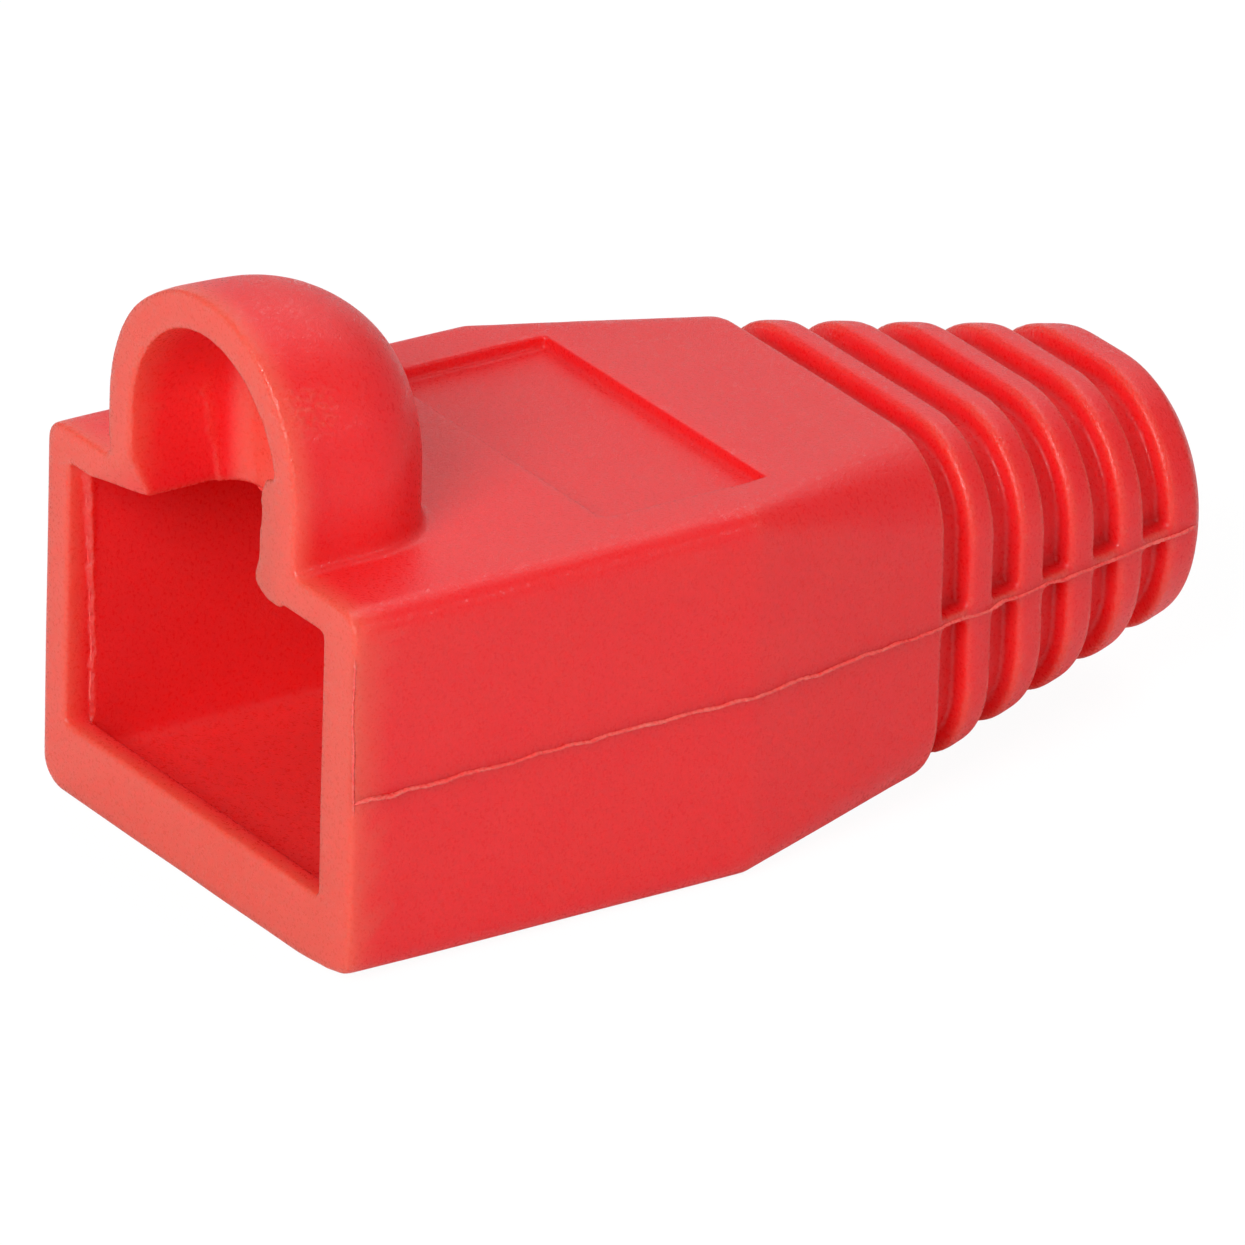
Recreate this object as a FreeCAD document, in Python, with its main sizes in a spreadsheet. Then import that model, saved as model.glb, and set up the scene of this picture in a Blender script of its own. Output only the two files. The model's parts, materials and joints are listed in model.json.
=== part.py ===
# Strain relief boot for an eight-way modular plug, moulded in one piece from soft PVC.
#
# Frame: millimetres, +Z up.  X runs across the boot, Y from the mouth back to the cable
# end, Z from the flat underside up.  The sections are drawn from the mouth, and the body's
# Placement then puts the origin under the middle of the boot, at mid length.  The boot is
# one moulding, so it is one body:
#   sleeve   a rectangular tube that slides over the rear of the plug, tapering behind
#            its shoulder bend
#   tail     a slimmer core with five rings, left solid along the two sides of the mould's
#            parting plane
#   hood     an arch over the plug's latch, open at the front, domed and closed behind
#   inside   mouth with a raised lip, cavity, narrowing throat and cable bore
# Every section is drawn about the parting plane, where the two mould halves meet.

import FreeCAD, Part
import math
import os
import Sketcher
from FreeCAD import Vector

doc = FreeCAD.newDocument("StrainReliefBoot")

# ---------------------------------------------------------------- driving sizes, mm
SIZES = [
    ("parting_height", 5.05, "lowest point, at the shoulder bend, to the mould's parting plane"),
    ("mouth_drop", 4.9, "parting plane down to the bottom at the mouth"),
    ("mouth_width", 14.0, "outside width at the mouth"),
    ("bend_width", 13.7, "outside width at the shoulder bend"),
    ("sleeve_rise", 4.95, "parting plane up to the flat top"),
    ("straight_length", 12.0, "mouth to the shoulder bend"),
    ("sleeve_corner", 0.65, "radius along the long edges of the sleeve"),
    ("shoulder_width", 11.8, "outside width at the end of the taper"),
    ("shoulder_rise", 4.7, "parting plane up to the top at the end of the taper"),
    ("shoulder_drop", 4.8, "parting plane down to the bottom at the end of the taper"),
    ("shoulder_corner", 2.3, "corner radius at the end of the taper"),
    ("taper_length", 6.25, "shoulder bend to the first groove"),
    ("crest_rise", 4.67, "parting plane up to the ring crests, taken back to the taper"),
    ("crest_drop", 4.78, "parting plane down to the ring crests, taken back to the taper"),
    ("crest_corner", 2.5, "corner radius of the ring crests, taken back to the taper"),
    ("tail_width", 8.26, "outside width of the last ring"),
    ("tail_rise", 3.5, "parting plane up to the top of the last ring"),
    ("tail_drop", 3.57, "parting plane down to the bottom of the last ring"),
    ("tail_corner", 3.35, "corner radius of the last ring"),
    ("ring_count", 5, "rings on the tail"),
    ("ring_pitch", 1.78, "one groove and one ring"),
    ("groove_width", 0.9, "opening of a groove along the boot"),
    ("groove_depth", 0.57, "ring crest to groove floor"),
    ("ring_lead", 0.14, "bevel on the front edge of a ring"),
    ("end_extra", 0.5, "how much longer the last ring is than the others"),
    ("tail_round", 0.4, "rounding of the cable end"),
    ("web_rise", 0.2, "web above the parting plane"),
    ("web_drop", 0.1, "web below the parting plane"),
    ("web_inset", 0.04, "web set in from the ring crests"),
    ("side_wall", 1.0, "wall beside the cavity"),
    ("top_wall", 0.95, "wall over the cavity"),
    ("floor_wall", 0.9, "wall under the cavity"),
    ("cavity_corner", 0.3, "corner radius of the cavity"),
    ("lip_length", 0.7, "mouth lip along the boot"),
    ("lip_height", 0.9, "mouth lip above the cavity floor"),
    ("lip_side", 0.1, "mouth lip inside each side wall"),
    ("throat_width", 6.2, "narrow end of the throat"),
    ("throat_corner", 2.6, "corner radius of the narrow end of the throat"),
    ("bore_radius", 2.7, "cable bore"),
    ("hood_half_width", 4.15, "half the outside width of the hood"),
    ("hood_crown", 5.8, "crown of the hood above the flat top, at its front"),
    ("hood_length", 4.93, "hood along the boot at its foot"),
    ("hood_level", 1.0, "mouth to where the crown starts to fall"),
    ("hood_fall", 1.0, "fall of the crown in a slow curve from there to the back"),
    ("hood_back_round", 2.54, "rounding of the hood's back, seen from above"),
    ("hood_crown_round", 1.07, "how far that rounding also lowers the crown"),
    ("hood_wall", 0.85, "wall of the hood's legs"),
    ("hood_back_wall", 1.58, "closed back of the hood at its foot"),
    ("slot_leg", 1.5, "straight sides of the latch slot above the flat top"),
    ("hood_inner_round", 0.8, "inside rounding of the hood's back"),
    ("hood_foot_fillet", 0.25, "fillet where the hood stands on the top"),
    ("relief_width", 1.7, "lead-in facet beside the latch slot, along the lip"),
    ("relief_height", 1.3, "lead-in facet up the latch slot"),
    ("relief_depth", 0.65, "lead-in facet into the boot"),
    ("relief_spill", 0.16, "how far the facet's cut spills into the open slot and mouth"),
    ("label_width", 9.9, "shallow label panel across the top"),
    ("label_length", 4.8, "label panel along the boot"),
    ("label_start", 8.6, "mouth to the label panel"),
    ("label_depth", 0.4, "label panel below the top"),
    ("overrun", 1.0, "how far an inside cut runs past the face it opens"),
]

sheet = doc.addObject("Spreadsheet::Sheet", "Sizes")
for row, (alias, value, note) in enumerate(SIZES, start=1):
    sheet.set("A%d" % row, alias)
    sheet.set("B%d" % row, str(value))
    sheet.set("C%d" % row, note)
    sheet.setAlias("B%d" % row, alias)
doc.recompute()


def size(alias):
    """The number in the named cell."""
    return float(sheet.get(alias))


def bind(target, path, formula):
    """Tie a property or a sketch constraint to a formula of sheet names."""
    target.setExpression(path, formula)


RINGS = int(size("ring_count"))

body = doc.addObject("PartDesign::Body", "Boot")
body.Label = "boot"


def origin_plane(role):
    """One of the body's own origin planes."""
    return [f for f in body.Origin.OriginFeatures if f.Role == role][0]


# Stations along the boot, as formulas.
BEND = "Sizes.straight_length"
SHOULDER = "(Sizes.straight_length + Sizes.taper_length)"
CABLE_END = "(%s + Sizes.ring_count * Sizes.ring_pitch + Sizes.end_extra)" % SHOULDER
TOP = "Sizes.sleeve_rise"
CEILING = "(Sizes.sleeve_rise - Sizes.top_wall)"
FLOOR_DROP = "(Sizes.mouth_drop - Sizes.floor_wall)"
CAVITY_HALF = "(Sizes.mouth_width / 2 - Sizes.side_wall)"
SLOT_CENTRE = "(Sizes.sleeve_rise + Sizes.slot_leg)"
HOOD_INNER = "(Sizes.hood_half_width - Sizes.hood_wall)"


def origin_sketch(name, role, offset):
    """A sketch on one of the origin planes, shifted by a formula along each named axis."""
    sketch = body.newObject("Sketcher::SketchObject", name)
    sketch.AttachmentSupport = [(origin_plane(role), "")]
    sketch.MapMode = "FlatFace"
    for axis, formula in offset.items():
        bind(sketch, "AttachmentOffset.Base." + axis, formula)
    return sketch


def cross_sketch(name, station):
    """A sketch across the boot: its x is X, its y is the height over the parting plane."""
    return origin_sketch(
        name, "XZ_Plane", {"z": "-(%s)" % station, "y": "Sizes.parting_height"})


def plan_sketch(name, height):
    """A sketch seen from above, at a height over the parting plane."""
    return origin_sketch(name, "XY_Plane", {"z": "Sizes.parting_height + %s" % height})


def outline(sketch, points):
    """Straight edges from point to point and back to the first, joined at their ends."""
    count = len(points)
    for edge in range(count):
        first = Vector(points[edge][0], points[edge][1], 0)
        last = Vector(points[(edge + 1) % count][0], points[(edge + 1) % count][1], 0)
        sketch.addGeometry(Part.LineSegment(first, last), False)
    for edge in range(count):
        sketch.addConstraint(
            Sketcher.Constraint("Coincident", edge, 2, (edge + 1) % count, 1))


def between(first, last, fraction):
    """A size that runs straight from the end of the taper to the last ring."""
    return "(%s + (%s - %s) * (%s))" % (first, last, first, fraction)


def rounded_section(name, station, half, rise, drop, corner):
    """A rounded rectangle drawn symmetrically across the boot."""
    sketch = cross_sketch(name, station)
    w, t, b, r = 6.0, 4.0, 4.0, 0.5
    quarter = math.pi / 2
    line = Part.LineSegment

    def arc(cx, cy, start):
        circle = Part.Circle(Vector(cx, cy, 0), Vector(0, 0, 1), r)
        return Part.ArcOfCircle(circle, start, start + quarter)

    sketch.addGeometry(line(Vector(-w + r, -b, 0), Vector(w - r, -b, 0)), False)
    sketch.addGeometry(arc(w - r, -b + r, -quarter), False)
    sketch.addGeometry(line(Vector(w, -b + r, 0), Vector(w, t - r, 0)), False)
    sketch.addGeometry(arc(w - r, t - r, 0), False)
    sketch.addGeometry(line(Vector(w - r, t, 0), Vector(-w + r, t, 0)), False)
    sketch.addGeometry(arc(-w + r, t - r, quarter), False)
    sketch.addGeometry(line(Vector(-w, t - r, 0), Vector(-w, -b + r, 0)), False)
    sketch.addGeometry(arc(-w + r, -b + r, 2 * quarter), False)
    for edge in range(8):
        sketch.addConstraint(Sketcher.Constraint("Tangent", edge, 2, (edge + 1) % 8, 1))
    for edge in (3, 5, 7):
        sketch.addConstraint(Sketcher.Constraint("Equal", 1, edge))
    for edge in (0, 4):
        sketch.addConstraint(Sketcher.Constraint("Horizontal", edge))
    for edge in (2, 6):
        sketch.addConstraint(Sketcher.Constraint("Vertical", edge))
    dimension(sketch, Sketcher.Constraint("DistanceX", -1, 1, 2, 1, w), "half", half)
    dimension(sketch, Sketcher.Constraint("DistanceX", 6, 1, -1, 1, w), "other_half", half)
    dimension(sketch, Sketcher.Constraint("DistanceY", -1, 1, 4, 1, t), "rise", rise)
    dimension(sketch, Sketcher.Constraint("DistanceY", 0, 1, -1, 1, b), "drop", drop)
    dimension(sketch, Sketcher.Constraint("Radius", 1, r), "corner", corner)
    return sketch


def dimension(sketch, constraint, name, formula):
    """Add a named dimension to a sketch and tie it to a formula."""
    index = sketch.addConstraint(constraint)
    sketch.renameConstraint(index, name)
    bind(sketch, "Constraints.%s" % name, formula)


def loft(kind, name, sections):
    """A straight-sided loft through sections that have matching edges."""
    feature = body.newObject("PartDesign::" + kind, name)
    feature.Profile = sections[0]
    feature.Sections = sections[1:]
    feature.Ruled = True
    for section in sections:
        section.Visibility = False
    return feature


def prism(kind, name, sketch, length, backwards):
    """A Pad or Pocket of a given length; backwards turns it against its usual way."""
    feature = body.newObject("PartDesign::" + kind, name)
    feature.Profile = sketch
    bind(feature, "Length", length)
    feature.Reversed = backwards
    sketch.Visibility = False
    return feature


volumes = []


def stage(name, grows):
    """Recompute, and see that the last feature really added or removed material."""
    doc.recompute()
    volume = body.Tip.Shape.Volume
    last = volumes[-1] if volumes else 0.0
    changed = (volume > last) if grows else (volume < last)
    if not changed:
        raise RuntimeError("%s changed nothing: %.3f to %.3f" % (name, last, volume))
    volumes.append(volume)
    print("%-18s volume %9.3f mm3" % (name, volume))


# ---------------------------------------------------------------- outer sleeve
mouth_section = rounded_section(
    "MouthSection", "0", "Sizes.mouth_width / 2", TOP, "Sizes.mouth_drop",
    "Sizes.sleeve_corner")
bend_section = rounded_section(
    "BendSection", BEND, "Sizes.bend_width / 2", TOP, "Sizes.parting_height",
    "Sizes.sleeve_corner")
shoulder_section = rounded_section(
    "ShoulderSection", SHOULDER, "Sizes.shoulder_width / 2", "Sizes.shoulder_rise",
    "Sizes.shoulder_drop", "Sizes.shoulder_corner")
loft("AdditiveLoft", "Sleeve", [mouth_section, bend_section, shoulder_section])
stage("sleeve", True)


# ---------------------------------------------------------------- ringed tail
def tail_section(name, ring, along, inset):
    """The crest line after a number of rings plus a length along, set in by an inset."""
    fraction = "(%d + (%s) / Sizes.ring_pitch) / Sizes.ring_count" % (ring, along)
    station = "%s + %d * Sizes.ring_pitch + %s" % (SHOULDER, ring, along)
    half = between("Sizes.shoulder_width / 2", "Sizes.tail_width / 2", fraction)
    rise = between("Sizes.crest_rise", "Sizes.tail_rise", fraction)
    drop = between("Sizes.crest_drop", "Sizes.tail_drop", fraction)
    corner = between("Sizes.crest_corner", "Sizes.tail_corner", fraction)
    return rounded_section(
        name, station, "%s - %s" % (half, inset), "%s - %s" % (rise, inset),
        "%s - %s" % (drop, inset), "%s - %s" % (corner, inset))


LAST_CREST = "(Sizes.ring_pitch + Sizes.end_extra - Sizes.tail_round)"
core_front = tail_section("CoreFront", 0, "0", "Sizes.groove_depth")
core_back = tail_section("CoreBack", RINGS - 1, LAST_CREST, "Sizes.groove_depth")
loft("AdditiveLoft", "TailCore", [core_front, core_back])
stage("tail core", True)

for ring in range(RINGS):
    label = "Ring%d" % (ring + 1)
    last = ring == RINGS - 1
    crest_end = LAST_CREST if last else "Sizes.ring_pitch"
    sections = [
        tail_section(label + "Front", ring, "Sizes.groove_width", "Sizes.ring_lead"),
        tail_section(
            label + "Crest", ring, "Sizes.groove_width + Sizes.ring_lead", "0"),
        tail_section(label + "Back", ring, crest_end, "0"),
    ]
    if last:
        sections.append(tail_section(
            label + "Round", ring, "(Sizes.ring_pitch + Sizes.end_extra)",
            "Sizes.tail_round"))
    loft("AdditiveLoft", label, sections)
    stage(label, True)

# Along the parting plane the grooves stop at a web, nearly flush with the ring crests.
web_sketch = plan_sketch("WebPlan", "(0 - Sizes.web_drop)")
outline(web_sketch, [(-5, 18), (5, 18), (4, 26), (-4, 26)])
web_sketch.addConstraint(Sketcher.Constraint("Horizontal", 0))
web_sketch.addConstraint(Sketcher.Constraint("Horizontal", 2))
WEB_RINGS = "(%d + (Sizes.groove_width + Sizes.ring_lead) / Sizes.ring_pitch)" % (RINGS - 1)
web_back_half = between(
    "Sizes.shoulder_width / 2", "Sizes.tail_width / 2",
    "%s / Sizes.ring_count" % WEB_RINGS)
dimension(web_sketch, Sketcher.Constraint("DistanceX", 0, 1, -1, 1, 5), "front_left",
          "Sizes.shoulder_width / 2 - Sizes.web_inset")
dimension(web_sketch, Sketcher.Constraint("DistanceX", -1, 1, 0, 2, 5), "front_right",
          "Sizes.shoulder_width / 2 - Sizes.web_inset")
dimension(web_sketch, Sketcher.Constraint("DistanceX", -1, 1, 2, 1, 4), "back_right",
          "%s - Sizes.web_inset" % web_back_half)
dimension(web_sketch, Sketcher.Constraint("DistanceX", 2, 2, -1, 1, 4), "back_left",
          "%s - Sizes.web_inset" % web_back_half)
dimension(web_sketch, Sketcher.Constraint("DistanceY", -1, 1, 0, 1, 18), "front", SHOULDER)
dimension(web_sketch, Sketcher.Constraint("DistanceY", -1, 1, 2, 1, 26), "back",
          "%s + %s * Sizes.ring_pitch" % (SHOULDER, WEB_RINGS))
prism("Pad", "PartingWeb", web_sketch, "Sizes.web_rise + Sizes.web_drop", False)
stage("parting web", True)


# ---------------------------------------------------------------- latch hood
def arch_sketch(name, station, half, centre, foot):
    """A round-topped arch standing on a level foot: two legs and a half circle."""
    sketch = cross_sketch(name, station)
    w, c, f = 4.0, 6.0, 4.0
    crown = Part.ArcOfCircle(Part.Circle(Vector(0, c, 0), Vector(0, 0, 1), w), 0, math.pi)
    sketch.addGeometry(Part.LineSegment(Vector(-w, f, 0), Vector(w, f, 0)), False)
    sketch.addGeometry(Part.LineSegment(Vector(w, f, 0), Vector(w, c, 0)), False)
    sketch.addGeometry(crown, False)
    sketch.addGeometry(Part.LineSegment(Vector(-w, c, 0), Vector(-w, f, 0)), False)
    sketch.addConstraint(Sketcher.Constraint("Coincident", 0, 2, 1, 1))
    sketch.addConstraint(Sketcher.Constraint("Tangent", 1, 2, 2, 1))
    sketch.addConstraint(Sketcher.Constraint("Tangent", 2, 2, 3, 1))
    sketch.addConstraint(Sketcher.Constraint("Coincident", 3, 2, 0, 1))
    sketch.addConstraint(Sketcher.Constraint("Horizontal", 0))
    sketch.addConstraint(Sketcher.Constraint("Vertical", 1))
    sketch.addConstraint(Sketcher.Constraint("Vertical", 3))
    sketch.addConstraint(Sketcher.Constraint("PointOnObject", 2, 3, -2))
    dimension(sketch, Sketcher.Constraint("Radius", 2, w), "half", half)
    dimension(sketch, Sketcher.Constraint("DistanceY", -1, 1, 2, 3, c), "centre", centre)
    dimension(sketch, Sketcher.Constraint("DistanceY", -1, 1, 0, 1, f), "foot", foot)
    return sketch


# The crown is level at first, then falls as the square of the distance from there.  At the
# back the sides draw in along a quarter circle seen from above, and the crown with them.
HOOD_TURNS = (0, 22, 42, 60, 76, 90)


def hood_section(name, station, draw_in, falls):
    """The hood's arch at a station, drawn in by a share of the back's rounding."""
    half = "(Sizes.hood_half_width - Sizes.hood_back_round * %s)" % draw_in
    crown = "(Sizes.sleeve_rise + Sizes.hood_crown - Sizes.hood_crown_round * %s" % draw_in
    if falls:
        crown += (" - Sizes.hood_fall * ((%s - Sizes.hood_level)"
                  " / (Sizes.hood_length - Sizes.hood_level)) ^ 2" % station)
    return arch_sketch(name, station, half, "%s) - %s" % (crown, half),
                       "Sizes.sleeve_rise - Sizes.top_wall / 2")


hood_sections = [hood_section("HoodFront", "0", "0", False),
                 hood_section("HoodLevel", "Sizes.hood_level", "0", False)]
for turn in HOOD_TURNS:
    away = "%.5f" % (1 - math.sin(math.radians(turn)))
    draw_in = "%.5f" % (1 - math.cos(math.radians(turn)))
    station = "(Sizes.hood_length - Sizes.hood_back_round * %s)" % away
    hood_sections.append(hood_section("HoodTurn%d" % turn, station, draw_in, True))
hood = loft("AdditiveLoft", "Hood", hood_sections)
hood.Ruled = False
stage("hood", True)


def edges_where(test):
    """Names of the edges of the newest shape whose box and middle point pass a test."""
    names = []
    for number, edge in enumerate(body.Tip.Shape.Edges, start=1):
        middle = edge.valueAt((edge.FirstParameter + edge.LastParameter) / 2)
        if test(edge.BoundBox, middle):
            names.append("Edge%d" % number)
    return names


def round_edges(name, test, radius):
    """A fillet over the edges that pass a test."""
    base = body.Tip
    names = edges_where(test)
    feature = body.newObject("PartDesign::Fillet", name)
    feature.Base = (base, names)
    bind(feature, "Radius", radius)
    return feature


TOUCH = 0.01
top_height = size("parting_height") + size("sleeve_rise")
hood_back = size("hood_length")


def on_hood_foot(box, middle):
    """Edges where the hood stands on the flat top, but not the front face's own edges."""
    level = box.ZLength < TOUCH and abs(middle.z - top_height) < TOUCH
    inside = middle.y > TOUCH and box.YMax < hood_back + TOUCH
    near = abs(middle.x) < size("hood_half_width") + TOUCH
    return level and inside and near


round_edges("HoodFoot", on_hood_foot, "Sizes.hood_foot_fillet")
stage("hood foot", True)

# ---------------------------------------------------------------- label panel
label_sketch = plan_sketch("LabelPlan", "Sizes.sleeve_rise")
outline(label_sketch, [(-5, 8), (5, 8), (5, 13), (-5, 13)])
label_sketch.addConstraint(Sketcher.Constraint("Horizontal", 0))
label_sketch.addConstraint(Sketcher.Constraint("Horizontal", 2))
label_sketch.addConstraint(Sketcher.Constraint("Vertical", 1))
label_sketch.addConstraint(Sketcher.Constraint("Vertical", 3))
dimension(label_sketch, Sketcher.Constraint("DistanceX", 0, 1, -1, 1, 5), "left",
          "Sizes.label_width / 2")
dimension(label_sketch, Sketcher.Constraint("DistanceX", -1, 1, 0, 2, 5), "right",
          "Sizes.label_width / 2")
dimension(label_sketch, Sketcher.Constraint("DistanceY", -1, 1, 0, 1, 8), "front",
          "Sizes.label_start")
dimension(label_sketch, Sketcher.Constraint("DistanceY", 0, 1, 2, 1, 5), "length",
          "Sizes.label_length")
prism("Pocket", "LabelPanel", label_sketch, "Sizes.label_depth", False)
stage("label panel", False)

# ---------------------------------------------------------------- inside
cavity_section = rounded_section(
    "CavitySection", "Sizes.lip_length", CAVITY_HALF, CEILING, FLOOR_DROP,
    "Sizes.cavity_corner")
prism("Pocket", "Cavity", cavity_section, "Sizes.straight_length - Sizes.lip_length", False)
stage("cavity", False)

mouth_opening = rounded_section(
    "MouthOpening", "0", "%s - Sizes.lip_side" % CAVITY_HALF, CEILING,
    "%s - Sizes.lip_height" % FLOOR_DROP, "Sizes.cavity_corner / 2")
prism("Pocket", "Mouth", mouth_opening, "Sizes.lip_length", False)
stage("mouth", False)

throat_front = rounded_section(
    "ThroatFront", BEND, CAVITY_HALF, CEILING, FLOOR_DROP, "Sizes.cavity_corner")
throat_back = rounded_section(
    "ThroatBack", SHOULDER, "Sizes.throat_width / 2", "Sizes.throat_width / 2",
    "Sizes.throat_width / 2", "Sizes.throat_corner")
loft("SubtractiveLoft", "Throat", [throat_front, throat_back])
stage("throat", False)

bore_sketch = cross_sketch("BoreCircle", "%s - Sizes.overrun" % SHOULDER)
bore_sketch.addGeometry(Part.Circle(Vector(0, 0, 0), Vector(0, 0, 1), 2.5), False)
bore_sketch.addConstraint(Sketcher.Constraint("Coincident", 0, 3, -1, 1))
dimension(bore_sketch, Sketcher.Constraint("Radius", 0, 2.5), "bore", "Sizes.bore_radius")
prism("Pocket", "CableBore", bore_sketch,
      "%s - %s + 2 * Sizes.overrun" % (CABLE_END, SHOULDER), False)
stage("cable bore", False)

hood_inside = arch_sketch(
    "HoodInside", "0", HOOD_INNER, SLOT_CENTRE, "%s - Sizes.cavity_corner" % CEILING)
prism("Pocket", "LatchSlot", hood_inside, "Sizes.hood_length - Sizes.hood_back_wall", False)
stage("latch slot", False)

slot_back = size("hood_length") - size("hood_back_wall")
ceiling_height = top_height - size("top_wall")


def on_slot_back(box, middle):
    """Edges around the back of the latch slot, above the cavity's ceiling."""
    flat = box.YLength < TOUCH and abs(middle.y - slot_back) < TOUCH
    return flat and middle.z > ceiling_height + TOUCH


round_edges("SlotBackRound", on_slot_back, "Sizes.hood_inner_round")
stage("slot rounding", True)


# A lead-in facet at the left foot of the slot: a corner pyramid that runs out inside.
def relief_sketch(name, station, across, up):
    """A right triangle at the corner of slot and ceiling, spilling into the opening."""
    sketch = cross_sketch(name, station)
    outline(sketch, [(-3.0, 3.9), (-3.0, 5.3), (-5.0, 3.9)])
    sketch.addConstraint(Sketcher.Constraint("Vertical", 0))
    sketch.addConstraint(Sketcher.Constraint("Horizontal", 2))
    dimension(sketch, Sketcher.Constraint("DistanceX", 0, 1, -1, 1, 3.0), "side",
              "%s - Sizes.relief_spill" % HOOD_INNER)
    dimension(sketch, Sketcher.Constraint("DistanceY", -1, 1, 0, 1, 3.9), "base",
              "%s - Sizes.relief_spill" % CEILING)
    dimension(sketch, Sketcher.Constraint("DistanceX", 2, 1, 0, 1, 2.0), "across", across)
    dimension(sketch, Sketcher.Constraint("DistanceY", 0, 1, 0, 2, 1.4), "up", up)
    return sketch


relief_front = relief_sketch(
    "ReliefFront", "0", "Sizes.relief_width + 2 * Sizes.relief_spill",
    "Sizes.relief_height + 2 * Sizes.relief_spill")
relief_back = relief_sketch(
    "ReliefBack", "Sizes.relief_depth", "2 * Sizes.relief_spill",
    "2 * Sizes.relief_spill")
loft("SubtractiveLoft", "LeadInFacet", [relief_front, relief_back])
stage("lead-in facet", False)

# ---------------------------------------------------------------- test and write
bind(body, "Placement.Base.y", "-%s / 2" % CABLE_END)
doc.recompute()
for item in doc.Objects:
    if "Invalid" in item.State or "Error" in item.State:
        raise RuntimeError("%s did not build: %s" % (item.Name, item.State))
if body.Shape.isNull() or not body.Shape.isValid():
    raise RuntimeError("the boot's shape is not valid")
if len(body.Shape.Solids) != 1:
    raise RuntimeError("the boot is not one solid")

os.makedirs("parts", exist_ok=True)
body.Shape.exportStep(os.path.join("parts", body.Label + ".step"))
box = body.Shape.BoundBox
print("boot %.2f x %.2f x %.2f mm, volume %.1f mm3" % (
    box.XLength, box.YLength, box.ZLength, body.Shape.Volume))
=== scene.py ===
# %% [markdown]
# # A red strain relief boot
# The boot slides over the rear of a modular plug and keeps the cable from kinking.  It is one
# moulding in soft PVC, so there is nothing to assemble.  What makes it look real is what the
# mould leaves behind: soft edges, a ragged parting line, thin flash where the cores met, and
# a fine matte grain.  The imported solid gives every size, and it is loaded before anything else.

# %% Load the frame
import json
import math
import bmesh
import bpy
import numpy as np
from mathutils import Matrix, Vector


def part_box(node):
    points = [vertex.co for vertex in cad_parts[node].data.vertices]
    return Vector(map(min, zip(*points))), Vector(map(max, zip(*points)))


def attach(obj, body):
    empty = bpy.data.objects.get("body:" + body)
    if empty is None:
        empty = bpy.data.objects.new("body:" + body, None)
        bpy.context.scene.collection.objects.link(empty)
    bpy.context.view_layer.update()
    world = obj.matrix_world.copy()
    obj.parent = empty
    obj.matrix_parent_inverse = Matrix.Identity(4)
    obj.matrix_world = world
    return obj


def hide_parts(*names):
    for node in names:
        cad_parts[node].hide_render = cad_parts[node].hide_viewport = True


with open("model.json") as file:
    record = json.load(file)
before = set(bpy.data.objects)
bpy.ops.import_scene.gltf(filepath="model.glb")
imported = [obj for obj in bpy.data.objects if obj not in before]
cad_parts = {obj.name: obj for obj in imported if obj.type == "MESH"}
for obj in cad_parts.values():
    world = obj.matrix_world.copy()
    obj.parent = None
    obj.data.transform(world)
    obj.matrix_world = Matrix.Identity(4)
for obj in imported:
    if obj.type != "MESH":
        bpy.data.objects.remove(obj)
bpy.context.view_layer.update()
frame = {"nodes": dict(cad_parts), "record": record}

MM = 0.001
scene = bpy.context.scene
scene.view_settings.view_transform = "Standard"
record = frame["record"]
cad_boot = frame["nodes"]["boot"]
low, high = (np.array(corner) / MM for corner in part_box("boot"))
mouth_y, end_y = low[1], high[1]


def opening(name):
    """The two corners, in millimetres, of a space the record keeps open."""
    found = [space for space in record["physics"]["openings"] if space["name"] == name][0]
    return [np.array(corner) / MM for corner in found["box_m"]]


parting_z = record["mounts"][0]["pos_m"][2] / MM
cavity_low, cavity_high = opening("plug_cavity")
slot_high = opening("latch_slot")[1]
print("boot", np.round(high - low, 2), "mm, parting plane at z", round(parting_z, 2), "mm")

# %% [markdown]
# ## Where the camera stands
# A small object is usually seen from some way off through a long lens, which keeps its
# parallel edges nearly parallel.  The camera is turned by three angles: round the boot, up
# over it, and a slight roll.  It could be aimed with a tracking constraint, but three vectors
# worked out one by one also give the roll, and they stay easy to read.

# %% Camera
CAMERA_AZIMUTH = 55.69
CAMERA_ELEVATION = 24.81
CAMERA_ROLL = 1.61
CAMERA_DISTANCE = 500.0
CAMERA_LENS = 579.5
CLIP_START = 10.0
AIM = Vector((0.477, mouth_y + 12.297, parting_z - 0.61))


def camera_axes(azimuth, elevation, roll):
    """Right, up and back vectors of a camera at these angles in degrees.

    Back points from the object to the camera.  Right lies level, up is back cross right, and
    both are then turned about back by the roll."""
    a, e, r = np.radians((azimuth, elevation, roll))
    back = Vector((math.sin(a) * math.cos(e), -math.cos(a) * math.cos(e), math.sin(e)))
    right = Vector((math.cos(a), math.sin(a), 0.0))
    up = back.cross(right)
    return (math.cos(r) * right + math.sin(r) * up,
            math.cos(r) * up - math.sin(r) * right, back)


right, up, back = camera_axes(CAMERA_AZIMUTH, CAMERA_ELEVATION, CAMERA_ROLL)
camera = bpy.data.objects.new("camera", bpy.data.cameras.new("camera"))
camera.data.lens = CAMERA_LENS
camera.data.clip_start = CLIP_START * MM
turn = Matrix((right, up, back)).transposed().to_4x4()
turn.translation = (AIM + CAMERA_DISTANCE * back) * MM
camera.matrix_world = turn
scene.collection.objects.link(camera)
scene.camera = camera
print("camera at", [round(value / MM, 1) for value in turn.translation], "mm")

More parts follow.
